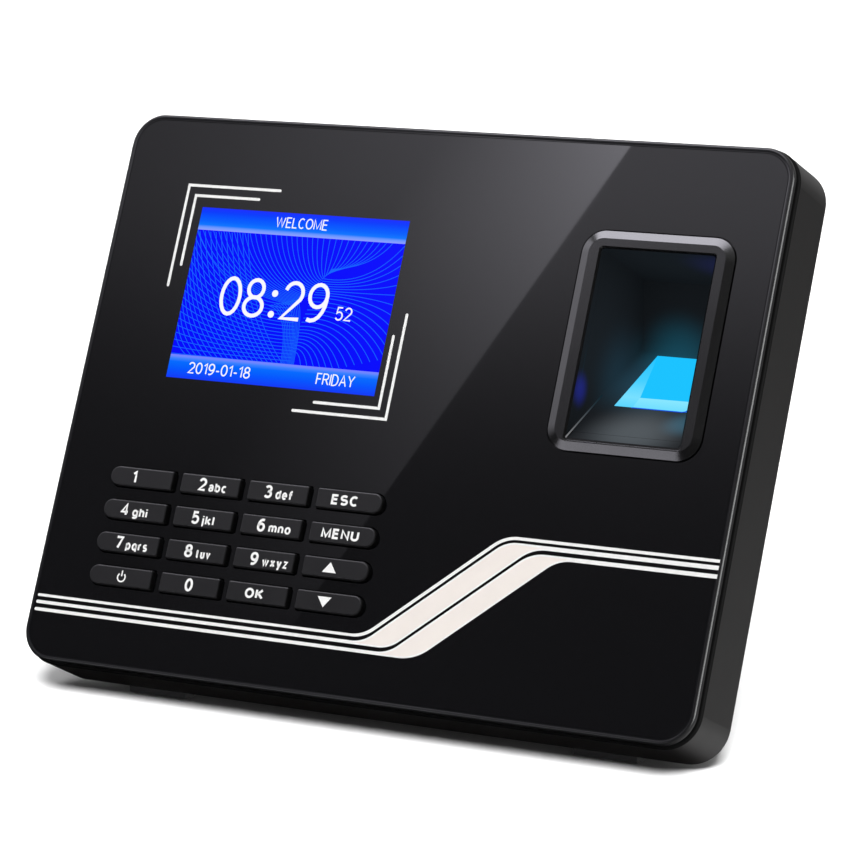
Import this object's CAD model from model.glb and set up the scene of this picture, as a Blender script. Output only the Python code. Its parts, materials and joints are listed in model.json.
"""The looks of a fingerprint scanner terminal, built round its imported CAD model.

Sizes are in millimetres on the terminal's face: x to the right and z up from the face's middle, and
"proud" towards the viewer. at() turns such a place into the frame's metres. Everything else that has
to fit the CAD model is read from the frame.
"""
import json
import math

import bmesh
import bpy
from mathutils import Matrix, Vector


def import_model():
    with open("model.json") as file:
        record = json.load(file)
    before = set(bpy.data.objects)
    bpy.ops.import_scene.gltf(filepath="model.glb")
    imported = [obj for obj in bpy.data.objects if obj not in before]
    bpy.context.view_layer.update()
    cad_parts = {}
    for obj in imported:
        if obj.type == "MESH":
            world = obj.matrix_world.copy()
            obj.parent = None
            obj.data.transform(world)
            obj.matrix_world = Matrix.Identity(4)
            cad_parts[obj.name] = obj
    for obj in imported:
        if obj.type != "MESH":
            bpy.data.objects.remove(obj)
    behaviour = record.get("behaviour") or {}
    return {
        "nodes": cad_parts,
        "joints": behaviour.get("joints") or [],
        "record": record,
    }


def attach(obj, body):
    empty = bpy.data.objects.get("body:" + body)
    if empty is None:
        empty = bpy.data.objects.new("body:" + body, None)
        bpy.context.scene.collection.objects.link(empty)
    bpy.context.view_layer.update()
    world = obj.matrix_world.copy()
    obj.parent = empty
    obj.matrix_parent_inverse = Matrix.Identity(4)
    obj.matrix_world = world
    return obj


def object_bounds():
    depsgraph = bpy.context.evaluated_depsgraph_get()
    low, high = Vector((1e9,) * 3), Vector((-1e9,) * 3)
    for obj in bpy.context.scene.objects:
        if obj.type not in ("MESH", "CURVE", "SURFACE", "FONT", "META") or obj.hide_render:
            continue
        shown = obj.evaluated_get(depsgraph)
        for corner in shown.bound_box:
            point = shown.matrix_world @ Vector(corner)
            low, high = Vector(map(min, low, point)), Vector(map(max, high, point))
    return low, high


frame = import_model()
CAD_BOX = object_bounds()
NODES = frame["nodes"]

MM = 0.001
RIGHT = Vector((1, 0, 0))
# the keys slide straight into the face, so their axis is the face's depth direction
DEPTH = Vector(next(j["axis"] for j in frame["joints"] if j["type"] == "slide")).normalized()
UP = RIGHT.cross(DEPTH)

# ---------------- places on the face


def reach(node, direction):
    """The lowest and highest reach of a CAD node along a direction, in metres."""
    along = [vertex.co.dot(direction) for vertex in NODES[node].data.vertices]
    return min(along), max(along)


def middle(node, direction):
    """The middle of a CAD node's reach along a direction, in metres."""
    low, high = reach(node, direction)
    return (low + high) / 2


FACE = RIGHT * middle("front_panel", RIGHT) + UP * middle("front_panel", UP) \
    + DEPTH * reach("front_panel", DEPTH)[0]


def at(x, z, proud=0.0):
    """A place on the face, in the frame's metres."""
    return FACE + (RIGHT * x + UP * z - DEPTH * proud) * MM


def span(node, direction):
    """A CAD node's reach along a direction, in the face's millimetres."""
    start = FACE.dot(direction)
    return [(edge - start) / MM for edge in reach(node, direction)]


# ---------------- materials


def linear(red, green, blue):
    """A screen colour, 0 to 255, as linear light."""
    def channel(c):
        c /= 255
        return c / 12.92 if c <= 0.04045 else ((c + 0.055) / 1.055) ** 2.4
    return (channel(red), channel(green), channel(blue), 1)


def surface(name, colour, roughness, **sockets):
    """A Principled material. sockets are further inputs, with _ for spaces."""
    material = bpy.data.materials.new(name)
    material.use_nodes = True
    shader = material.node_tree.nodes["Principled BSDF"]
    shader.inputs["Base Color"].default_value = colour
    shader.inputs["Roughness"].default_value = roughness
    for socket, value in sockets.items():
        shader.inputs[socket.replace("_", " ")].default_value = value
    return material


def add_node(material, kind, **values):
    """A shader node. values are its inputs or its settings."""
    node = material.node_tree.nodes.new(kind)
    for name, value in values.items():
        if name in node.inputs:
            node.inputs[name].default_value = value
        else:
            setattr(node, name, value)
    return node


def join(material, source, output, target, socket):
    """Links one node's output to another's input, each given by name or number."""
    material.node_tree.links.new(source.outputs[output], target.inputs[socket])


def shader_of(material):
    return material.node_tree.nodes["Principled BSDF"]


def noise(material, size, detail=2.0):
    """Noise whose lumps are about size millimetres across."""
    place = add_node(material, "ShaderNodeTexCoord")
    lumps = add_node(material, "ShaderNodeTexNoise", Scale=1 / (size * MM), Detail=detail)
    join(material, place, "Object", lumps, "Vector")
    return lumps


def grain(material, size, height, detail=2.0):
    """A bump of moulded grain, size and height in millimetres."""
    lumps = noise(material, size, detail)
    bump = add_node(material, "ShaderNodeBump", Strength=1.0, Distance=height * MM)
    join(material, lumps, "Fac", bump, "Height")
    before = shader_of(material).inputs["Normal"]
    if before.is_linked:
        earlier = before.links[0].from_node
        join(material, earlier, "Normal", bump, "Normal")
    join(material, bump, "Normal", shader_of(material), "Normal")
    return material


def vary(material, socket, low, high, size, detail=3.0):
    """Lets a plain number or colour wander between two values, in patches."""
    patches = noise(material, size, detail)
    ramp = add_node(material, "ShaderNodeValToRGB")
    for stop, place, value in zip(ramp.color_ramp.elements, (0.3, 0.7), (low, high)):
        stop.position = place
        stop.color = value if isinstance(value, tuple) else (value, value, value, 1)
    join(material, patches, "Fac", ramp, "Fac")
    join(material, ramp, "Color", shader_of(material), socket)
    return material


def shade(colour, amount):
    """A colour made darker (under 1) or brighter."""
    return tuple(c * amount for c in colour[:3]) + (1,)


def plastic(name, colour, roughness, grain_size=0.3, grain_height=0.003, **sockets):
    """Moulded plastic: fine spark-eroded grain, with slight changes of gloss and colour."""
    material = surface(name, colour, roughness, **sockets)
    vary(material, "Roughness", roughness - 0.02, roughness + 0.03, 14)
    vary(material, "Base Color", shade(colour, 0.94), shade(colour, 1.06), 30)
    return grain(material, grain_size, grain_height)


def metal(name, colour, roughness):
    """Plated steel with fine marks."""
    material = surface(name, colour, roughness, Metallic=1.0)
    vary(material, "Roughness", roughness - 0.08, roughness + 0.1, 1.5)
    return grain(material, 0.4, 0.004, 4)


def ink(name, colour, roughness):
    """Screen-printed ink, a little uneven in density."""
    material = surface(name, colour, roughness)
    return vary(material, "Base Color", shade(colour, 0.97), colour, 6)


def lit(name, colour, strength=1.0):
    """A surface that glows in one colour."""
    return surface(name, (0, 0, 0, 1), 0.1, Emission_Color=colour, Emission_Strength=strength,
                   Specular_IOR_Level=0.05)


def lit_across(name, stops):
    """A glowing surface whose colour changes from the bottom (0) to the top (1) of its UV map."""
    material = surface(name, (0, 0, 0, 1), 0.1, Emission_Strength=1.0, Specular_IOR_Level=0.05)
    place = add_node(material, "ShaderNodeUVMap")
    height = add_node(material, "ShaderNodeSeparateXYZ")
    ramp = add_node(material, "ShaderNodeValToRGB")
    join(material, place, "UV", height, "Vector")
    join(material, height, "Y", ramp, "Fac")
    join(material, ramp, "Color", shader_of(material), "Emission Color")
    while len(ramp.color_ramp.elements) < len(stops):
        ramp.color_ramp.elements.new(0.5)
    for element, (position, colour) in zip(ramp.color_ramp.elements, stops):
        element.position = position
        element.color = linear(*colour)
    return material


def panel_gloss():
    """The face: clear hard sheet over black print, polished, with faint waves and wiping marks."""
    material = surface("panel_gloss", (0.0018, 0.0018, 0.0022, 1), 0.02, IOR=1.5)
    vary(material, "Roughness", 0.014, 0.028, 30)
    return grain(material, 40, 0.003, 0)


# a colour Mix node's sockets: its plain factor, its two colours, and the colour that comes out
MIX_FACTOR, MIX_A, MIX_B, MIX_RESULT = 0, 6, 7, 2


def spot(material, place, radius, colour):
    """Light that leaks on to a surface round one place. Returns the node that holds its colour."""
    where = add_node(material, "ShaderNodeTexCoord")
    distance = add_node(material, "ShaderNodeVectorMath", operation="DISTANCE")
    distance.inputs[1].default_value = place
    fade = add_node(material, "ShaderNodeMapRange", interpolation_type="SMOOTHERSTEP")
    fade.inputs["From Min"].default_value = radius * MM
    fade.inputs["From Max"].default_value = 0
    glow = add_node(material, "ShaderNodeMix", data_type="RGBA")
    glow.inputs[MIX_A].default_value = (0, 0, 0, 1)
    glow.inputs[MIX_B].default_value = colour
    join(material, where, "Object", distance, 0)
    join(material, distance, "Value", fade, "Value")
    join(material, fade, "Result", glow, MIX_FACTOR)
    return glow


# light leaking on to the well: its place on the face and how proud, how far it reaches, and its colour
WELL_GLOWS = [
    ((57, 16, -23), 23, (18, 60, 78)),
    ((44.6, 9.7, -2.2), 5.5, (14, 18, 108)),
    ((54, 26.5, -30), 13, (0, 54, 68)),
    ((59, 22, -8), 55, (25, 29, 33)),
    ((73.2, 42.0, -9), 15, (12, 12, 52)),
    ((60, 1.0, -2.5), 17, (74, 80, 84)),
    ((70, 5.0, -7.5), 8, (30, 74, 92)),
]


def well_plastic():
    """The well's satin plastic. The sensor's blue-green light fades over its floor and up its walls, and
    deep blue light leaks at its lower left and its upper right."""
    material = plastic("well_plastic", (0.0022, 0.0024, 0.0026, 1), 0.85, Specular_IOR_Level=0.08,
                       Emission_Strength=1.0)
    total = None
    for place, radius, colour in WELL_GLOWS:
        glow = spot(material, at(*place), radius, linear(*colour))
        if total:
            both = add_node(material, "ShaderNodeMix", data_type="RGBA", blend_type="ADD")
            both.inputs[MIX_FACTOR].default_value = 1.0
            join(material, total, MIX_RESULT, both, MIX_A)
            join(material, glow, MIX_RESULT, both, MIX_B)
            glow = both
        total = glow
    join(material, total, MIX_RESULT, shader_of(material), "Emission Color")
    return material


MATERIALS = {
    "shell_plastic": plastic("shell_plastic", (0.005, 0.005, 0.0055, 1), 0.24, 0.3, 0.002),
    "cover_plastic": plastic("cover_plastic", (0.007, 0.006, 0.006, 1), 0.38, 0.4, 0.003),
    "panel_gloss": panel_gloss(),
    "tape": plastic("tape", (0.02, 0.02, 0.02, 1), 0.8),
    "mat_rubber": plastic("mat_rubber", (0.02, 0.02, 0.022, 1), 0.7),
    "key_rubber": plastic("key_rubber", (0.003, 0.003, 0.0032, 1), 0.45, 0.25, 0.002, Specular_IOR_Level=0.3),
    "board_green": plastic("board_green", (0.01, 0.09, 0.035, 1), 0.35, 1.2, 0.01),
    "screw_steel": metal("screw_steel", (0.55, 0.55, 0.56, 1), 0.35),
    "foam": plastic("foam", (0.02, 0.02, 0.02, 1), 0.95, 0.8, 0.2),
    "screen_frame": metal("screen_frame", (0.6, 0.6, 0.6, 1), 0.4),
    "screen_glass": plastic("screen_glass", (0.01, 0.02, 0.1, 1), 0.1),
    "flex_amber": plastic("flex_amber", (0.35, 0.13, 0.015, 1), 0.35, 2.0, 0.02),
    "bezel_plastic": plastic("bezel_plastic", (0.003, 0.003, 0.0032, 1), 0.22, 0.2, 0.0006),
    "well_plastic": well_plastic(),
    "prism_glass": lit("prism_glass", linear(28, 195, 255)),
    "case_black": plastic("case_black", (0.012, 0.012, 0.012, 1), 0.45),
    "lamp": lit("lamp", linear(60, 150, 255), 2.0),
    "chip_black": plastic("chip_black", (0.018, 0.018, 0.018, 1), 0.5, 0.5, 0.02),
    "socket_white": plastic("socket_white", (0.6, 0.57, 0.48, 1), 0.45),
    "cell_steel": metal("cell_steel", (0.65, 0.65, 0.66, 1), 0.3),
    "socket_steel": metal("socket_steel", (0.68, 0.68, 0.69, 1), 0.28),
    "pin_steel": metal("pin_steel", (0.6, 0.6, 0.61, 1), 0.3),
    "cone": plastic("cone", (0.03, 0.03, 0.03, 1), 0.85, 1.0, 0.05),
    "magnet": plastic("magnet", (0.05, 0.05, 0.055, 1), 0.6, 0.8, 0.05),
    "lead": plastic("lead", (0.015, 0.015, 0.015, 1), 0.5),
    "foot_rubber": plastic("foot_rubber", (0.012, 0.012, 0.012, 1), 0.7, 0.6, 0.02),
    "leg_plastic": plastic("leg_plastic", (0.009, 0.009, 0.0095, 1), 0.4, 0.4, 0.004),
}
PRINT_WHITE = ink("print_white", (0.8, 0.8, 0.79, 1), 0.06)
PRINT_CREAM = ink("print_cream", (0.79, 0.73, 0.69, 1), 0.06)
LEGEND_WHITE = ink("legend_white", (0.8, 0.8, 0.79, 1), 0.5)
RIM_BLACK = plastic("rim_black", (0.003, 0.003, 0.0033, 1), 0.34, 0.3, 0.0006, Specular_IOR_Level=0.25)
GROOVE_BLACK = plastic("groove_black", (0.001, 0.001, 0.001, 1), 0.7, Specular_IOR_Level=0.05)
SCREEN_WHITE = lit("screen_white", linear(248, 249, 255))
SCREEN_LINES = lit("screen_lines", linear(22, 104, 252))

for part in frame["record"]["subparts"]:
    for holder in NODES[part["node"]].material_slots:
        holder.material = MATERIALS[part["material_slot"]]

# ---------------- making pieces


def piece(name, builder, materials, body="case"):
    """A mesh object from a bmesh, riding on a body."""
    mesh = bpy.data.meshes.new(name)
    bmesh.ops.recalc_face_normals(builder, faces=builder.faces)
    builder.to_mesh(mesh)
    builder.free()
    for material in materials:
        mesh.materials.append(material)
    thing = bpy.data.objects.new(name, mesh)
    bpy.context.scene.collection.objects.link(thing)
    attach(thing, body)
    return thing


def plate(builder, back, front):
    """A closed flat plate between two rings of places. It returns the vertices of each."""
    low, high = ([builder.verts.new(place) for place in ring] for ring in (back, front))
    builder.faces.new(low[::-1])
    builder.faces.new(high)
    for k in range(len(low)):
        after = (k + 1) % len(low)
        builder.faces.new((low[k], low[after], high[after], high[k]))
    return low, high


def prism(builder, outline, back, front):
    """A plate on the face with an outline of (x, z) points, between two heights."""
    plate(builder, *([at(x, z, proud) for x, z in outline] for proud in (back, front)))


def smooth_but_sharp(thing, angle):
    """Shades a piece's faces as one curved surface, except where they meet at more than an angle."""
    for face in thing.data.polygons:
        face.use_smooth = True
    thing.data.set_sharp_from_angle(angle=math.radians(angle))


def set_heights(builder, height):
    """Stores how far up its colour ramp each vertex of a piece is. height(vertex) is 0 to 1."""
    layer = builder.loops.layers.uv.new("height")
    for face in builder.faces:
        for loop in face.loops:
            loop[layer].uv = (0.5, height(loop.vert))


def arc(cx, cz, radius, start, end, steps=12):
    """Points round a circle, from one angle to another in degrees."""
    angles = [math.radians(start + (end - start) * k / steps) for k in range(steps + 1)]
    return [(cx + radius * math.cos(t), cz + radius * math.sin(t)) for t in angles]


def rounded(points, radii, steps=10):
    """An open line through the points, with a tangent arc of its own radius at each inner one."""
    line = [points[0]]
    for before, corner, after, radius in zip(points, points[1:], points[2:], radii):
        here = Vector(corner)
        back, on = (Vector(before) - here).normalized(), (Vector(after) - here).normalized()
        half = back.angle(on) / 2
        centre = here + (back + on).normalized() * (radius / math.sin(half))
        first = here + back * (radius / math.tan(half)) - centre
        turn = first.angle_signed(here + on * (radius / math.tan(half)) - centre)
        for k in range(steps + 1):
            angle = math.atan2(first.y, first.x) - turn * k / steps
            line.append((centre.x + radius * math.cos(angle), centre.y + radius * math.sin(angle)))
    return line + [points[-1]]


def stroke(builder, line, width, back, front):
    """A raised line of one width, or a ring if it ends where it starts."""
    ring = (Vector(line[0]) - Vector(line[-1])).length < 1e-6
    points = [Vector(p) for p in (line[:-1] if ring else line)]
    count = len(points)
    corners = []
    for k, here in enumerate(points):
        ways = []
        if ring or k > 0:
            ways.append((here - points[k - 1]).normalized())
        if ring or k < count - 1:
            ways.append((points[(k + 1) % count] - here).normalized())
        way = sum(ways, Vector((0, 0))).normalized()
        side = Vector((-way.y, way.x))
        reach_out = side * (width / 2 / max(0.7, side.dot(Vector((-ways[0].y, ways[0].x)))))
        corners.append([builder.verts.new(at(*(here + out), proud))
                        for out, proud in ((reach_out, back), (reach_out, front), (-reach_out, front),
                                           (-reach_out, back))])
    for k in range(count if ring else count - 1):
        near, far = corners[k], corners[(k + 1) % count]
        for a in range(4):
            b = (a + 1) % 4
            builder.faces.new((near[a], near[b], far[b], far[a]))
    if not ring:
        builder.faces.new(corners[0])
        builder.faces.new(corners[-1][::-1])


def ribbon(line, width):
    """The outline of a line of one width along (x, z) points, with square corners and round ends."""
    half = width / 2
    points = [Vector(point) for point in line]
    ways = [(after - before).normalized() for before, after in zip(points, points[1:])]
    left, right = [], []
    for here, before, after in zip(points, ways[:1] + ways, ways + ways[-1:]):
        way = (before + after).normalized()
        side = Vector((-way.y, way.x))
        stretch = half / side.dot(Vector((-before.y, before.x)))
        left.append(tuple(here + side * stretch))
        right.append(tuple(here - side * stretch))
    tip = math.degrees(math.atan2(ways[-1].y, ways[-1].x))
    tail = math.degrees(math.atan2(-ways[0].y, -ways[0].x))
    return left[:-1] + arc(*line[-1], half, tip + 90, tip - 90, 8) + right[-2:0:-1] \
        + arc(*line[0], half, tail + 90, tail - 90, 8)


# ---------------- printing on the panel

PRINT_SUNK = -0.05
PRINT_PROUD = 0.03
BAND_PROUD = 0.04
FACE_RADIUS = 8.0
# the lip's section, each point as how far in from the face's outer edge, and how proud: a flat start on the
# panel, a round corner that lies a hair outside the shell's own, and a straight side
RIM_START = [(1.32, PRINT_SUNK), (1.32, 0.015), (0.86, 0.025)]
RIM_ROUND = 0.75
RIM_SKIN = 0.1
RIM_DEEP = 1.3
# the black groove behind the lip, round to the side wall
GROOVE_SECTION = [(0.74, -1.34), (0.76, -2.34), (0.0, -2.36), (-0.3, -2.44), (-0.48, -2.64), (-0.54, -2.95),
                  (-0.55, -3.25), (-0.45, -3.25)]
SHARP_ANGLE = 35


def face_rim():
    """The moulded lip round the panel, over its rounded corner and down its side, and the groove behind."""
    wide, tall = span("front_shell", RIGHT)[1], span("front_shell", UP)[1]
    section = RIM_START + [(RIM_ROUND - RIM_SKIN - x, RIM_SKIN - RIM_ROUND + z)
                           for x, z in arc(0, 0, RIM_ROUND, 90, 0, 8)]
    section += [(-RIM_SKIN, -RIM_DEEP)] + GROOVE_SECTION
    lip, groove, panel = range(3)
    panel_bands = len(RIM_START) - 1
    groove_bands = len(section) - 1 - len(GROOVE_SECTION)
    builder = bmesh.new()
    rings = []
    for inset, proud in section:
        radius = FACE_RADIUS - inset
        x, z = wide - inset - radius, tall - inset - radius
        outline = (arc(x, z, radius, 0, 90, 16) + arc(-x, z, radius, 90, 180, 16)
                   + arc(-x, -z, radius, 180, 270, 16) + arc(x, -z, radius, 270, 360, 16))
        rings.append([builder.verts.new(at(a, b, proud)) for a, b in outline])
    for j, (ring, following) in enumerate(zip(rings, rings[1:])):
        for k in range(len(ring)):
            face = builder.faces.new((ring[k - 1], ring[k], following[k], following[k - 1]))
            face.material_index = panel if j < panel_bands else lip if j < groove_bands else groove
    thing = piece("face_rim", builder, [RIM_BLACK, GROOVE_BLACK, MATERIALS["panel_gloss"]])
    smooth_but_sharp(thing, SHARP_ANGLE)


# the three stripes run level, climb across the lower right and run level again
SLOPE = 0.86
SLOPE_LEVEL = -40.0
STRIPE_START = -86.6
STRIPE_END = 87.6
# each edge: height on the left, x where it crosses SLOPE_LEVEL, height on the right, its two radii
STRIPE_EDGES = [
    (-53.5, 18.6, -26.58, 8.6, 9.4),
    (-54.13, 19.76, -27.29, 8.6, 8.6),
    (-55.1, 20.84, -27.99, 8.0, 8.0),
    (-55.88, 28.86, -28.98, 8.0, 9.4),
    (-56.9, 29.94, -29.97, 8.0, 9.4),
    (-57.7, 38.0, -30.93, 11.6, 9.0),
]
CREAM_BORDER = 0.42


def stripe_edge(left, crossing, right, low_radius, high_radius):
    """One edge of a stripe, from its left end over its two bends to its right end."""
    points = [(STRIPE_START, left), (crossing + (left - SLOPE_LEVEL) / SLOPE, left),
              (crossing + (right - SLOPE_LEVEL) / SLOPE, right), (STRIPE_END, right)]
    return rounded(points, (low_radius, high_radius))


def climb(line, inward):
    """The part of a stripe's edge from its first bend to its last, moved in square to itself."""
    moved = []
    for before, here, after in zip(line, line[1:], line[2:]):
        way = (Vector(after) - Vector(before)).normalized()
        moved.append(tuple(Vector(here) + Vector((-way.y, way.x)) * inward))
    return moved


def stripes():
    """Three printed stripes. Where they climb, the lower two widen into cream bands with white borders."""
    lines = [stripe_edge(*edge) for edge in STRIPE_EDGES]
    white, cream = bmesh.new(), bmesh.new()
    for upper, lower in zip(lines[::2], lines[1::2]):
        # the left ends are slightly round
        bulge = (upper[0][1] - lower[0][1]) / 2
        end = arc(upper[0][0], upper[0][1] - bulge, bulge, 270, 90, 6)[1:-1]
        prism(white, upper + lower[::-1] + end, PRINT_SUNK, PRINT_PROUD)
    for upper, lower in list(zip(lines[::2], lines[1::2]))[1:]:
        prism(cream, climb(upper, -CREAM_BORDER) + climb(lower, CREAM_BORDER)[::-1], PRINT_SUNK, BAND_PROUD)
    piece("printed_stripes", white, [PRINT_WHITE])
    piece("printed_bands", cream, [PRINT_CREAM])


BRACKETS = [
    [(-43.6, 51.6), (-69.35, 51.6), (-69.35, 25.9)],
    [(-49.0, 49.06), (-66.9, 49.06), (-66.9, 31.3)],
    [(-27.6, -2.26), (-2.4, -2.26), (-2.4, 23.3)],
    [(-22.3, 0.19), (-4.8, 0.19), (-4.8, 17.8)],
]
BRACKET_WIDTH = 0.7


def brackets():
    """Four printed corner lines, two at each of two of the screen's corners."""
    builder = bmesh.new()
    for line in BRACKETS:
        prism(builder, ribbon(line, BRACKET_WIDTH), PRINT_SUNK, PRINT_PROUD)
    piece("printed_brackets", builder, [PRINT_WHITE])


# ---------------- lettering

# how tall small letters are, in capital heights
X_HIGH = 0.72


def oval(cx, cz, rx, rz, start=0, end=360):
    """Points round an ellipse, from one angle to another in degrees."""
    steps = max(4, round(abs(end - start) / 18))
    angles = [math.radians(start + (end - start) * k / steps) for k in range(steps + 1)]
    return [(cx + rx * math.cos(t), cz + rz * math.sin(t)) for t in angles]


STEM = [(0, 0), (0, 1)]
SHORT_STEM = [(0, 0), (0, X_HIGH)]
BOWL = oval(0.24, 0.36, 0.24, 0.36)
ARCH = [(0, 0.44)] + oval(0.21, 0.49, 0.21, 0.23, 180, 0) + [(0.42, 0)]
# a plain sans alphabet: each letter's width, and the middle lines of its strokes, in capital heights
LETTERS = {
    "0": (0.56, [oval(0.28, 0.5, 0.28, 0.5)]),
    "1": (0.3, [[(0.02, 0.77), (0.27, 1), (0.27, 0)]]),
    "2": (0.56, [oval(0.28, 0.71, 0.27, 0.29, 165, -35) + [(0, 0), (0.56, 0)]]),
    "3": (0.55, [oval(0.27, 0.755, 0.235, 0.245, 155, -80) + oval(0.27, 0.265, 0.28, 0.265, 80, -150)]),
    "4": (0.58, [[(0.42, 0), (0.42, 1), (0, 0.28), (0.58, 0.28)]]),
    "5": (0.56, [[(0.5, 1), (0.11, 1), (0.05, 0.52)] + oval(0.27, 0.32, 0.285, 0.32, 130, -150)]),
    "6": (0.56, [oval(0.29, 0.31, 0.27, 0.31), oval(0.41, 0.4, 0.39, 0.6, 180, 72)]),
    "7": (0.56, [[(0, 1), (0.56, 1), (0.2, 0)]]),
    "8": (0.56, [oval(0.28, 0.755, 0.23, 0.245), oval(0.28, 0.26, 0.28, 0.26)]),
    "9": (0.56, [oval(0.27, 0.69, 0.27, 0.31), oval(0.15, 0.6, 0.39, 0.6, 0, -108)]),
    "-": (0.3, [[(0, 0.36), (0.3, 0.36)]]),
    "A": (0.62, [[(0, 0), (0.31, 1), (0.62, 0)], [(0.12, 0.36), (0.5, 0.36)]]),
    "C": (0.58, [oval(0.31, 0.5, 0.31, 0.5, 50, 310)]),
    "D": (0.56, [[(0.2, 0), (0, 0), (0, 1), (0.2, 1)] + oval(0.2, 0.5, 0.36, 0.5, 80, -90)]),
    "E": (0.46, [[(0.46, 1), (0, 1), (0, 0), (0.46, 0)], [(0, 0.52), (0.42, 0.52)]]),
    "F": (0.45, [[(0.45, 1), (0, 1), (0, 0)], [(0, 0.5), (0.4, 0.5)]]),
    "I": (0, [STEM]),
    "K": (0.56, [STEM, [(0.54, 1), (0, 0.36)], [(0.17, 0.56), (0.56, 0)]]),
    "L": (0.44, [[(0, 1), (0, 0), (0.44, 0)]]),
    "M": (0.7, [[(0, 0), (0, 1), (0.35, 0.06), (0.7, 1), (0.7, 0)]]),
    "N": (0.58, [[(0, 0), (0, 1), (0.58, 0), (0.58, 1)]]),
    "O": (0.66, [oval(0.33, 0.5, 0.33, 0.5)]),
    "R": (0.54, [[(0, 0), (0, 1)] + oval(0.28, 0.74, 0.22, 0.26, 90, -90) + [(0, 0.48)],
                 [(0.27, 0.48), (0.54, 0)]]),
    "S": (0.54, [oval(0.27, 0.745, 0.25, 0.255, 35, 260) + oval(0.27, 0.255, 0.27, 0.265, 80, -145)]),
    "U": (0.56, [[(0, 1)] + oval(0.28, 0.28, 0.28, 0.28, 180, 360) + [(0.56, 1)]]),
    "W": (0.9, [[(0, 1), (0.22, 0), (0.45, 0.95), (0.68, 0), (0.9, 1)]]),
    "Y": (0.6, [[(0, 1), (0.3, 0.45), (0.6, 1)], [(0.3, 0.45), (0.3, 0)]]),
    "a": (0.42, [oval(0.21, 0.51, 0.2, 0.21, 165, 0) + [(0.41, 0)],
                 [(0.41, 0.4)] + oval(0.2, 0.2, 0.2, 0.2, 90, 270) + [(0.41, 0.1)]]),
    "b": (0.48, [STEM, BOWL]),
    "c": (0.42, [oval(0.24, 0.36, 0.24, 0.36, 50, 310)]),
    "d": (0.48, [[(0.48, 0), (0.48, 1)], BOWL]),
    "e": (0.46, [[(0.02, 0.37), (0.47, 0.37)] + oval(0.24, 0.36, 0.235, 0.36, 5, 315)]),
    "f": (0.36, [[(0.14, 0), (0.14, 0.78)] + oval(0.36, 0.78, 0.22, 0.22, 170, 85),
                 [(-0.04, 0.62), (0.36, 0.62)]]),
    "g": (0.48, [oval(0.24, 0.38, 0.24, 0.34), [(0.48, X_HIGH)] + oval(0.24, -0.04, 0.24, 0.22, 0, -150)]),
    "h": (0.42, [STEM, ARCH]),
    "i": (0, [SHORT_STEM, [(0, 0.9), (0, 1.02)]]),
    "j": (0.1, [[(0.1, X_HIGH)] + oval(0, -0.12, 0.1, 0.14, 0, -80), [(0.1, 0.9), (0.1, 1.02)]]),
    "k": (0.42, [STEM, [(0.4, X_HIGH), (0, 0.27)], [(0.14, 0.42), (0.43, 0)]]),
    "l": (0, [STEM]),
    "m": (0.72, [SHORT_STEM] + [[(x, 0.44)] + oval(x + 0.18, 0.5, 0.18, 0.22, 180, 0) + [(x + 0.36, 0)]
                                for x in (0, 0.36)]),
    "n": (0.42, [SHORT_STEM, ARCH]),
    "o": (0.48, [BOWL]),
    "p": (0.48, [[(0, X_HIGH), (0, -0.26)], BOWL]),
    "q": (0.48, [[(0.48, X_HIGH), (0.48, -0.26)], BOWL]),
    "r": (0.26, [SHORT_STEM, [(0, 0.42)] + oval(0.24, 0.44, 0.24, 0.27, 170, 85)]),
    "s": (0.42, [oval(0.21, 0.535, 0.19, 0.185, 35, 260) + oval(0.21, 0.185, 0.21, 0.19, 80, -145)]),
    "t": (0.32, [[(0.14, 0.95)] + oval(0.32, 0.18, 0.18, 0.18, 180, 265), [(-0.04, 0.66), (0.32, 0.66)]]),
    "u": (0.42, [[(0, X_HIGH)] + oval(0.21, 0.23, 0.21, 0.23, 180, 350), [(0.42, X_HIGH), (0.42, 0)]]),
    "v": (0.44, [[(0, X_HIGH), (0.22, 0), (0.44, X_HIGH)]]),
    "w": (0.66, [[(0, X_HIGH), (0.17, 0), (0.33, 0.68), (0.49, 0), (0.66, X_HIGH)]]),
    "x": (0.42, [[(0, X_HIGH), (0.42, 0)], [(0.42, X_HIGH), (0, 0)]]),
    "y": (0.44, [[(0, X_HIGH), (0.22, 0)], [(0.44, X_HIGH), (0.16, -0.26), (0.03, -0.26)]]),
    "z": (0.4, [[(0, X_HIGH), (0.4, X_HIGH), (0, 0), (0.4, 0)]]),
}


# the space between two letters, in stroke thicknesses
LETTER_GAP = 0.75


def write(builder, text, left, low, wide, high, weight, back, front):
    """A word whose capitals are high tall, fitted to a width. weight is the strokes' thickness."""
    gap = weight * LETTER_GAP
    tall = high - weight
    spare = wide - weight * len(text) - gap * (len(text) - 1)
    across = spare / max(0.01, sum(LETTERS[c][0] for c in text))
    x = left + weight / 2
    for c in text:
        width, strokes = LETTERS[c]
        for line in strokes:
            stroke(builder, [(x + px * across, low + weight / 2 + pz * tall) for px, pz in line], weight,
                   back, front)
        x += width * across + weight + gap


# ---------------- keys

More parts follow.
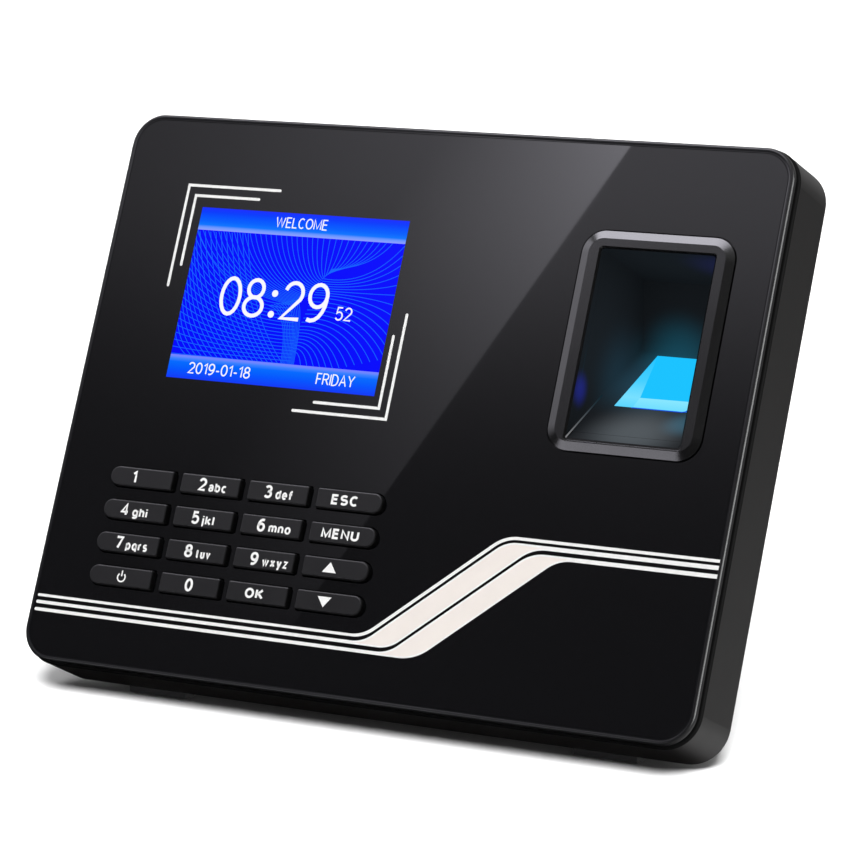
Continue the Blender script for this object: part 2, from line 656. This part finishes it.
# each legend: its words, and each word's left end and width from the key's middle
LEGENDS = {
    "key_1": (("1", -2.9, 1.35),),
    "key_2": (("2", -3.45, 2.2), ("abc", -0.55, 4.9)),
    "key_3": (("3", -4.0, 2.2), ("def", -0.8, 4.65)),
    "key_4": (("4", -4.1, 2.3), ("ghi", -0.77, 4.2)),
    "key_5": (("5", -3.5, 2.2), ("jkl", -0.66, 3.5)),
    "key_6": (("6", -4.05, 2.2), ("mno", -0.8, 6.0)),
    "key_7": (("7", -3.7, 2.2), ("pqrs", -0.66, 6.1)),
    "key_8": (("8", -3.45, 2.2), ("tuv", -0.33, 4.1)),
    "key_9": (("9", -4.0, 2.2), ("wxyz", -0.7, 7.0)),
    "key_0": (("0", -1.43, 2.2),),
    "key_ok": (("OK", -3.5, 5.0),),
    "key_esc": (("ESC", -5.05, 7.2),),
    "key_menu": (("MENU", -5.87, 10.0),),
}
# each kind of legend: its height, its strokes' thickness, and how far its foot is below the key's middle
DIGIT = (3.2, 0.6, 1.6)
WORD = (2.5, 0.56, 1.35)
SMALL = (2.35, 0.47, 1.6)
# the arrows: which way each points and how far it is from the key's middle, and the one that points up
ARROWS = {"key_up": (1, -1.45), "key_down": (-1, -1.2)}
ARROW = [(-1.85, -1.2), (1.85, -1.2), (0, 1.3)]
# the power sign: its middle from the key's middle, its open ring's radius and angles, its bar, its thickness
POWER_X, POWER_Z = 0.4, -0.2
POWER_RING = (1.05, 130, 410, 20)
POWER_BAR = (0.25, 1.7)
POWER_WEIGHT = 0.36
LEGEND_SHIFT = 0.35
LEGEND_SUNK = -0.02
LEGEND_PROUD = 0.02


def key_middle(node):
    """The middle of a key, on the face."""
    return sum(span(node, RIGHT)) / 2, sum(span(node, UP)) / 2


def key_legends():
    """Each key's printed digits, letters, arrow or power sign. They move with the key."""
    proud = -span("key_1", DEPTH)[0]
    height = (proud + LEGEND_SUNK, proud + LEGEND_PROUD)

    def legend(builder, node):
        piece("legend_" + node[4:], builder, [LEGEND_WHITE], node)

    for node, words in LEGENDS.items():
        x, z = key_middle(node)
        builder = bmesh.new()
        for word, left, wide in words:
            high, weight, drop = DIGIT if word.isdigit() else WORD if word.isupper() else SMALL
            write(builder, word, x + LEGEND_SHIFT + left, z - drop, wide, high, weight, *height)
        legend(builder, node)
    for node, (way, aside) in ARROWS.items():
        x, z = key_middle(node)
        builder = bmesh.new()
        prism(builder, [(x + aside + a, z + b * way) for a, b in ARROW], *height)
        legend(builder, node)
    x, z = key_middle("key_power")
    x, z = x + POWER_X, z + POWER_Z
    builder = bmesh.new()
    stroke(builder, arc(x, z, *POWER_RING), POWER_WEIGHT, *height)
    stroke(builder, [(x, z + end) for end in POWER_BAR], POWER_WEIGHT, *height)
    legend(builder, "key_power")


# ---------------- screen

SCREEN_X = (-64.3, -6.7)
SCREEN_Z = (3.0, 46.2)
HEADER_LOW = 40.5
FOOTER_HIGH = 8.8
PICTURE_PROUD = 0.02
LINE_PROUD = 0.03
BAR_PROUD = 0.04
WORD_PROUD = 0.06
# colours up the picture's three parts: how far up, and the screen colour there
PICTURE = [
    ("field", *SCREEN_Z, [(0, (4, 9, 252)), (1, (5, 9, 252))], PICTURE_PROUD),
    ("header", HEADER_LOW, SCREEN_Z[1],
     [(0, (145, 160, 255)), (0.13, (105, 150, 254)), (0.22, (12, 119, 254)), (0.4, (2, 98, 254)),
      (0.62, (1, 80, 255)), (0.8, (6, 61, 252)), (1, (24, 46, 255))], BAR_PROUD),
    ("footer", SCREEN_Z[0], FOOTER_HIGH,
     [(0, (19, 58, 247)), (0.35, (3, 84, 255)), (0.52, (2, 97, 253)), (0.7, (3, 107, 255)),
      (0.84, (60, 130, 255)), (0.93, (110, 135, 255)), (1, (120, 130, 255))], BAR_PROUD),
]
# families of fine curves: the lines their starts and ends move along, how far towards the end each
# curve's middle is pulled across and up, and how many there are
CURVES = [
    ([(-25, 33), (-26.7, 30.5), (-30, 26), (-34, 23.5)],
     [(-10, 40.5), (-30, 40.5), (-47, 40.5), (-64.3, 40.5)], 0.72, 0.15, 36),
    ([(-34, 23.5), (-31, 16), (-31, 8.8)], [(-64.3, 40), (-64.3, 24), (-64.3, 9)], 0.6, -0.05, 18),
    ([(-64.3, 14), (-64.3, 40), (-50, 40.5)], [(-60, 8.8), (-46, 8.8), (-33, 8.8)], 0.28, 0.62, 20),
    ([(-26.7, 30.5), (-28.5, 26), (-30.5, 18), (-31, 12)],
     [(-6.7, 40), (-6.7, 26), (-6.7, 12), (-18, 8.8), (-28, 8.8)], 0.62, -0.12, 24),
    ([(-40, 22.8), (-36.5, 24), (-33, 25)], [(-33.5, 8.8), (-31.5, 8.8), (-30, 8.8)], 0.92, 0.08, 12),
]
CURVE_WIDTH = 0.15
CURVE_STEPS = 16


def walk(rail, t):
    """A place on a line of straight parts, each taking the same share of t from 0 to 1."""
    place = t * (len(rail) - 1)
    first = min(int(place), len(rail) - 2)
    return Vector(rail[first]).lerp(Vector(rail[first + 1]), place - first)


def screen_lines():
    """A wallpaper of fine curves that fan out and cross."""
    builder = bmesh.new()
    for starts, ends, across, up, count in CURVES:
        for k in range(count):
            start, end = walk(starts, k / (count - 1)), walk(ends, k / (count - 1))
            pull = Vector((start.x + (end.x - start.x) * across, start.y + (end.y - start.y) * up))
            line = [start * (1 - t) ** 2 + pull * (2 * t * (1 - t)) + end * t ** 2
                    for t in (j / CURVE_STEPS for j in range(CURVE_STEPS + 1))]
            stroke(builder, line, CURVE_WIDTH, PRINT_SUNK, LINE_PROUD)
    piece("screen_lines", builder, [SCREEN_LINES])


def screen_picture():
    """The lit picture: a deep blue field between two shaded bars, each edged with a pale line."""
    left, right = SCREEN_X
    for name, low, high, stops, proud in PICTURE:
        builder = bmesh.new()
        prism(builder, [(left, low), (right, low), (right, high), (left, high)], PRINT_SUNK, proud)
        set_heights(builder, lambda vertex: ((vertex.co - FACE).dot(UP) / MM - low) / (high - low))
        piece("screen_" + name, builder, [lit_across("screen_" + name, stops)])


# each word on the screen: left end, foot, width, height and thickness of its strokes
SCREEN_WORDS = [
    ("0", -54.1, 19.45, 6.0, 9.95, 0.96), ("8", -47.4, 19.45, 6.0, 9.95, 0.96),
    ("2", -36.7, 19.45, 5.9, 9.95, 0.96), ("9", -29.8, 19.45, 5.9, 9.95, 0.96),
    ("52", -21.5, 20.5, 4.5, 3.4, 0.36), ("2019-01-18", -58.6, 4.35, 17.4, 2.9, 0.34),
    ("WELCOME", -42.9, 42.4, 14.4, 2.7, 0.3), ("FRIDAY", -23.0, 4.5, 10.4, 2.9, 0.3),
]
# the colon's two round dots: where across, the two heights, and the radius
COLON_X, COLON_Z, COLON_RADIUS = -39.0, (20.7, 25.9), 0.85


def screen_words():
    """The time, the date and two plain words, in white."""
    builder = bmesh.new()
    for word, left, low, wide, high, weight in SCREEN_WORDS:
        write(builder, word, left, low, wide, high, weight, PRINT_SUNK, WORD_PROUD)
    for z in COLON_Z:
        prism(builder, arc(COLON_X, z, COLON_RADIUS, 0, 340, 17), PRINT_SUNK, WORD_PROUD)
    piece("screen_words", builder, [SCREEN_WHITE])


# ---------------- sensor glass and well

# the sensor glass's main colour, and its length up the slope
GLASS_MAIN = (28, 195, 255)
GLASS_LONG = 25.1
# how far the strips stand out of the glass, and reach into it
GLASS_SKIN = 0.03
# the strips' outlines on the glass, as places across from its left edge and up the slope from its near
# edge, and their colours up the slope
GLASS_STRIPS = {
    "glass_left_wall": ([(0, 0), (4.65, 0), (4.5, 4.6), (0.1, 25.0)],
                        [(0, (92, 214, 255)), (0.18, (120, 224, 255)), (0.5, (70, 208, 255)),
                         (1, GLASS_MAIN)]),
    "glass_near_wall": ([(4.65, 0), (17.1, 0), (17.75, 0.3), (18.0, 1.0), (18.0, 4.8), (4.5, 4.6)],
                        [(0, (112, 222, 255)), (0.19, (138, 232, 255)), (1, (138, 232, 255))]),
    "glass_fringe": ([(4.4, -0.35), (17.2, -0.35), (18.15, 0.05), (18.4, 0.9), (18.4, 4.6), (18.0, 4.6),
                      (18.0, 1.0), (17.75, 0.3), (17.1, 0), (4.65, 0)],
                     [(0, (8, 80, 235)), (1, (8, 90, 235))]),
}


# the well's left wall, the height its floor's slope starts from, and the slope
WELL_LEFT, FLOOR_START, FLOOR_SLOPE = 44.6, -2.056, 0.944
# the strip of the rounded corner that shines: its centre, two radii, and from and to angle
CREASE_ROUND = (0.8, 1.1, 0.76, 1.05, 210, 236)
CREASE_DEPTHS = (-0.9, 2, 5, 8, 11, 14)
CREASE_GLOW = [(0, (128, 128, 130)), (0.35, (84, 88, 92)), (0.75, (34, 48, 56)), (1, (16, 38, 48))]
# the well's opening, a hair inside the bezel's: its sides, top and round corners, and its front and back
THROAT_X, THROAT_HIGH, THROAT_CORNER = (44.63, 73.17), 42.77, 0.8
THROAT_ENDS = (0.5, -1.6)
THROAT_SKIN = 0.03


def well_floor(proud):
    """The height of the well's sloping floor, at so far in front of the face."""
    return FLOOR_START - FLOOR_SLOPE * proud


def well_throat():
    """The well's own plastic, carried forward over the inside of the bezel's opening."""
    (left, right), inner = THROAT_X, THROAT_HIGH - THROAT_CORNER
    roof = (arc(right - THROAT_CORNER, inner, THROAT_CORNER, 0, 90, 4)
            + arc(left + THROAT_CORNER, inner, THROAT_CORNER, 90, 180, 4))
    builder = bmesh.new()
    rings = []
    for proud in THROAT_ENDS:
        foot = well_floor(proud) + THROAT_SKIN
        rings.append([builder.verts.new(at(x, z, proud)) for x, z in roof + [(left, foot), (right, foot)]])
    for k in range(len(rings[0])):
        builder.faces.new((rings[0][k - 1], rings[0][k], rings[1][k], rings[1][k - 1]))
    thing = piece("well_throat", builder, [MATERIALS["well_plastic"]])
    smooth_but_sharp(thing, SHARP_ANGLE)


def well_crease():
    """The soft corner between the well's floor and its left wall, which catches the light."""
    builder = bmesh.new()
    section = oval(*CREASE_ROUND)
    rings = [[builder.verts.new(at(WELL_LEFT + a, well_floor(-depth) + b, -depth)) for a, b in section]
             for depth in CREASE_DEPTHS]
    for ring, following in zip(rings, rings[1:]):
        for j in range(len(section) - 1):
            builder.faces.new((ring[j], ring[j + 1], following[j + 1], following[j])).smooth = True
    heights = {vertex: k / (len(rings) - 1) for k, ring in enumerate(rings) for vertex in ring}
    set_heights(builder, heights.get)
    piece("well_crease", builder, [lit_across("well_crease", CREASE_GLOW)])


def glass_walls():
    """The sides of the glass block, seen through its top as paler strips, and its deep blue edge."""
    left = span("sensor_prism", RIGHT)[0]
    near, far = span("sensor_prism", DEPTH)
    low, high = span("sensor_prism", UP)
    uphill = Vector((far - near, high - low)).normalized()
    for name, (outline, stops) in GLASS_STRIPS.items():
        builder = bmesh.new()
        sides = ([at(left + a, low + b * uphill.y + lift * uphill.x, lift * uphill.y - near - b * uphill.x)
                  for a, b in outline] for lift in (-GLASS_SKIN, GLASS_SKIN))
        heights = {vertex: b / GLASS_LONG
                   for ring in plate(builder, *sides) for vertex, (a, b) in zip(ring, outline)}
        set_heights(builder, heights.get)
        piece(name, builder, [lit_across(name, stops)])


# ---------------- light, floor and camera

CARD_TINT = (1.0, 0.98, 1.08)


def card(name, corners, radiance, steps):
    """A studio reflector seen only in reflections. radiance(u, v) is its brightness across 0 to 1."""
    mesh = bpy.data.meshes.new(name)
    low_left, low_right, high_right, high_left = corners
    points, colours, faces = [], [], []
    for j in range(steps + 1):
        for i in range(steps + 1):
            u, v = i / steps, j / steps
            points.append(low_left.lerp(low_right, u).lerp(high_left.lerp(high_right, u), v))
            colours.extend([radiance(u, v) * tint for tint in CARD_TINT] + [1])
    for j in range(steps):
        for i in range(steps):
            first = j * (steps + 1) + i
            faces.append((first, first + 1, first + steps + 2, first + steps + 1))
    mesh.from_pydata(points, [], faces)
    layer = mesh.color_attributes.new("radiance", "FLOAT_COLOR", "POINT")
    layer.data.foreach_set("color", colours)
    material = bpy.data.materials.new(name)
    material.use_nodes = True
    nodes = material.node_tree.nodes
    nodes.clear()
    colour = nodes.new("ShaderNodeAttribute")
    colour.attribute_name = "radiance"
    glow = nodes.new("ShaderNodeEmission")
    output = nodes.new("ShaderNodeOutputMaterial")
    material.node_tree.links.new(colour.outputs["Color"], glow.inputs["Color"])
    material.node_tree.links.new(glow.outputs["Emission"], output.inputs["Surface"])
    mesh.materials.append(material)
    thing = bpy.data.objects.new(name, mesh)
    bpy.context.scene.collection.objects.link(thing)
    thing.visible_camera = False
    thing.visible_diffuse = False
    thing.visible_shadow = False
    return thing


CAMERA_AZIMUTH = math.radians(28.2)
CAMERA_ELEVATION = math.radians(10.5)
CAMERA_DISTANCE = 0.8455
CAMERA_AIM = at(8.13, -2.69)
CAMERA_LENS = 153.9
CAMERA_SENSOR = 36
TOWARDS_CAMERA = Vector((math.sin(CAMERA_AZIMUTH) * math.cos(CAMERA_ELEVATION),
                         -math.cos(CAMERA_AZIMUTH) * math.cos(CAMERA_ELEVATION),
                         math.sin(CAMERA_ELEVATION)))


def camera():
    """The camera, at the photo's distance and angle."""
    data = bpy.data.cameras.new("camera")
    data.lens = CAMERA_LENS
    data.sensor_width = CAMERA_SENSOR
    data.clip_start, data.clip_end = 0.05, 50
    thing = bpy.data.objects.new("camera", data)
    thing.location = CAMERA_AIM + TOWARDS_CAMERA * CAMERA_DISTANCE
    thing.rotation_mode = "QUATERNION"
    thing.rotation_quaternion = (-TOWARDS_CAMERA).to_track_quat("-Z", "Y")
    bpy.context.scene.collection.objects.link(thing)
    bpy.context.scene.camera = thing
    return thing


# how far behind the face the mirrored cards stand, in metres, and in how many steps their light changes
CARD_AWAY = 0.35
CARD_STEPS = 48
# how much of a card's light the face mirrors, how bright the face is without, and the room's reflection
GLOSS = 0.0416
BARE_PANEL = 0.003
SURROUND = 0.08
# the part of the face's plane that the cards show their gradients to, and how far they reach past it
CARD_X, CARD_Z, CARD_MARGIN = 100, 80, 60
HIGHEST_Z = 72
# where the bright card's straight edge crosses the face, as its x at two heights
EDGE_TOP, EDGE_FOOT = (47.2, 69.0), (-20.8, -63.3)
# the soft light all over the face: its least, its gain upwards, the height where it has gained half, how
# slowly it gains, and how far left of the middle it has fallen to half
SOFT_LEAST, SOFT_GAIN, SOFT_MIDDLE, SOFT_SPREAD, SOFT_REACH = 0.0073, 0.046, 30, 16, 84
# the bright light left of the edge: its level at a height, how slowly it fades downwards, where it ends
# below, and its two parts, each with its share, its reach from the edge and its power
BRIGHT, BRIGHT_Z, BRIGHT_FADE, BRIGHT_END = 0.094, 66, 40, (-62, -42)
BRIGHT_PARTS = [(0.87, 50, 1.25), (0.13, 105, 1)]


def smooth(value, low, high):
    """0 under low, 1 over high, and a soft rise between."""
    t = min(1.0, max(0.0, (value - low) / (high - low)))
    return t * t * (3 - 2 * t)


def edge_at(z):
    """Where the bright card's edge crosses the face at a height."""
    (top_x, top_z), (foot_x, foot_z) = EDGE_TOP, EDGE_FOOT
    return foot_x + (z - foot_z) / (top_z - foot_z) * (top_x - foot_x)


def mirrored_light(x, z, beyond_edge):
    """How bright the reflection at a place on the face is, right of the bright card's edge or not."""
    inside = 1 - max(smooth(abs(x), CARD_X, CARD_X + CARD_MARGIN),
                     smooth(abs(z), CARD_Z, CARD_Z + CARD_MARGIN))
    x, z = max(-CARD_X, min(CARD_X, x)), max(-CARD_Z, min(HIGHEST_Z, z))
    side = 0.5 + 0.5 * min(1.0, max(0.0, (x + SOFT_REACH) / SOFT_REACH))
    light = SOFT_LEAST + side * SOFT_GAIN / (1 + math.exp(-(z - SOFT_MIDDLE) / SOFT_SPREAD))
    if not beyond_edge:
        away = edge_at(z) - x
        level = BRIGHT * math.exp((z - BRIGHT_Z) / BRIGHT_FADE) * smooth(z, *BRIGHT_END)
        light += level * sum(share * max(0.0, 1 - away / far) ** power for share, far, power in BRIGHT_PARTS)
    return SURROUND + inside * (max(0.0, light - BARE_PANEL) / GLOSS - SURROUND)


def reflectors(camera_place):
    """Two cards side by side that the polished face mirrors. The left one is brighter, and their
    straight joint crosses the face from the top to the lower left."""
    away = (camera_place - FACE).dot(-DEPTH)
    mirrored = camera_place + DEPTH * (2 * away)

    def behind(x, z):
        """Where a line from the mirrored camera through a place on the face meets the cards."""
        return mirrored + (at(x, z) - mirrored) * ((away + CARD_AWAY) / away)

    wide, tall = CARD_X + CARD_MARGIN, CARD_Z + CARD_MARGIN
    for name, beyond, near, far in (("bright_card", False, lambda z: -wide, edge_at),
                                    ("soft_card", True, edge_at, lambda z: wide)):
        def light(u, v):
            z = -tall + 2 * tall * v
            return mirrored_light(near(z) + u * (far(z) - near(z)), z, beyond)
        corners = [behind(near(-tall), -tall), behind(far(-tall), -tall), behind(far(tall), tall),
                   behind(near(tall), tall)]
        card(name, corners, light, CARD_STEPS)


STRIP_AIM = Vector((0, 0, 0.07))
STRIP_STEPS = 4


def strip(name, direction, away, size, dim, bright):
    """A glowing card that faces the terminal from a direction, dim at its foot and bright at its top."""
    towards = Vector(direction).normalized()
    across = towards.cross(Vector((0, 0, 1))).normalized() * size[0] / 2
    up = across.cross(towards).normalized() * size[1] / 2
    place = STRIP_AIM + towards * away
    corners = [place - across - up, place + across - up, place + across + up, place - across + up]
    card(name, corners, lambda u, v: dim + (bright - dim) * v, STRIP_STEPS)


def sun(name, energy, spread, rotation):
    """A broad light that shines straight down, turned by a rotation. spread is how wide it is, in degrees."""
    data = bpy.data.lights.new(name, "SUN")
    data.energy = energy
    data.angle = math.radians(spread)
    thing = bpy.data.objects.new(name, data)
    thing.rotation_euler = rotation
    bpy.context.scene.collection.objects.link(thing)
    return thing


def lean(degrees):
    """The rotation of a light tilted from straight overhead towards the camera's side."""
    return math.radians(degrees), 0, CAMERA_AZIMUTH


def link_light(light, thing, state):
    """Lets a light reach only one thing (INCLUDE), or everything but it (EXCLUDE)."""
    receivers = bpy.data.collections.new(light.name + "_receivers")
    receivers.objects.link(thing)
    receivers.collection_objects[0].light_linking.link_state = state
    light.light_linking.receiver_collection = receivers


AMBIENT = 0.05
# the room in reflections, as ramps: from where to where along a direction, and from and to how bright
ROOM_UP = (0.45, 1, SURROUND, 0.8)
ROOM_BACK = (0.2, 1, 0, 0.4)
ROOM_DOWN = (-0.5, -0.08, 0.8, 0.1)
ROOM_RIGHT = (-0.15, 0.4, 0, 1)
HORIZON = (-0.12, 0.12, 0, 1)


def world():
    """The room: white to the camera, dim as light, and in reflections dark in front, brighter above
    and behind, and bright below only on the right."""
    sky = bpy.data.worlds.new("studio")
    bpy.context.scene.world = sky
    sky.use_nodes = True
    nodes, links = sky.node_tree.nodes, sky.node_tree.links

    def ramp(axis, low, high, dark, bright):
        node = nodes.new("ShaderNodeMapRange")
        node.interpolation_type = "SMOOTHSTEP"
        for socket, value in (("From Min", low), ("From Max", high), ("To Min", dark), ("To Max", bright)):
            node.inputs[socket].default_value = value
        links.new(way.outputs[axis], node.inputs["Value"])
        return node.outputs["Result"]

    def mix(factor, a, b):
        node = nodes.new("ShaderNodeMix")
        for socket, value in (("Factor", factor), ("A", a), ("B", b)):
            if isinstance(value, float):
                node.inputs[socket].default_value = value
            else:
                links.new(value, node.inputs[socket])
        return node.outputs["Result"]

    def add(a, b):
        node = nodes.new("ShaderNodeMath")
        links.new(a, node.inputs[0])
        links.new(b, node.inputs[1])
        return node.outputs[0]

    path = nodes.new("ShaderNodeLightPath")
    place = nodes.new("ShaderNodeTexCoord")
    way = nodes.new("ShaderNodeSeparateXYZ")
    links.new(place.outputs["Generated"], way.inputs[0])
    above = add(ramp("Z", *ROOM_UP), ramp("Y", *ROOM_BACK))
    below = mix(ramp("X", *ROOM_RIGHT), 0.0, ramp("Z", *ROOM_DOWN))
    mirrored = mix(ramp("Z", *HORIZON), below, above)
    unlit = mix(path.outputs["Is Glossy Ray"], AMBIENT, mirrored)
    links.new(mix(path.outputs["Is Camera Ray"], unlit, 1.0), nodes["Background"].inputs["Strength"])
    nodes["Background"].inputs["Color"].default_value = (1, 1, 1, 1)


FLOOR_RADIUS = 9
FLOOR_GAP = 0.0001


def floor():
    """A plain pale floor, a hair under what stands on it."""
    builder = bmesh.new()
    bmesh.ops.create_circle(builder, cap_ends=True, segments=96, radius=FLOOR_RADIUS)
    mesh = bpy.data.meshes.new("floor")
    builder.to_mesh(mesh)
    builder.free()
    mesh.materials.append(surface("floor", (0.9, 0.9, 0.9, 1), 0.9, Specular_IOR_Level=0.1))
    thing = bpy.data.objects.new("floor", mesh)
    thing.location = (0, 0, CAD_BOX[0].z - FLOOR_GAP)
    thing.visible_glossy = False
    bpy.context.scene.collection.objects.link(thing)
    return thing


RIM_LIGHT_FROM = Vector((0.92, -0.2, 0.3))


def studio():
    """The room, floor, camera and lights. One light falls on everything but the floor, one makes only the
    floor's shadow, and one draws only the highlight along the lip round the face."""
    world()
    ground = floor()
    view = camera()
    reflectors(view.location)
    overhead = sun("overhead", 1.5, spread=60, rotation=lean(0))
    front = sun("front", 1.7, spread=50, rotation=lean(50))
    floor_front = sun("floor_front", 7.0, spread=18, rotation=lean(53))
    for light in (overhead, front, floor_front):
        light.visible_glossy = False
    rim_light = sun("rim_light", 8, spread=42, rotation=RIM_LIGHT_FROM.to_track_quat("Z", "Y").to_euler())
    link_light(front, ground, "EXCLUDE")
    link_light(floor_front, ground, "INCLUDE")
    link_light(rim_light, bpy.data.objects["face_rim"], "INCLUDE")
    strip("top_strip", (-0.3, -0.2, 0.93), 1.1, (0.9, 0.6), dim=10, bright=10)
    strip("left_strip", (-0.93, -0.2, 0.36), 0.45, (0.25, 0.4), dim=0, bright=3.4)
    strip("low_strip", (-0.46, -0.88, -0.12), 1.0, (0.5, 0.3), dim=4.5, bright=4.5)
    bpy.context.scene.view_settings.view_transform = "Standard"


face_rim()
stripes()
brackets()
screen_picture()
screen_lines()
screen_words()
key_legends()
glass_walls()
well_throat()
well_crease()
studio()
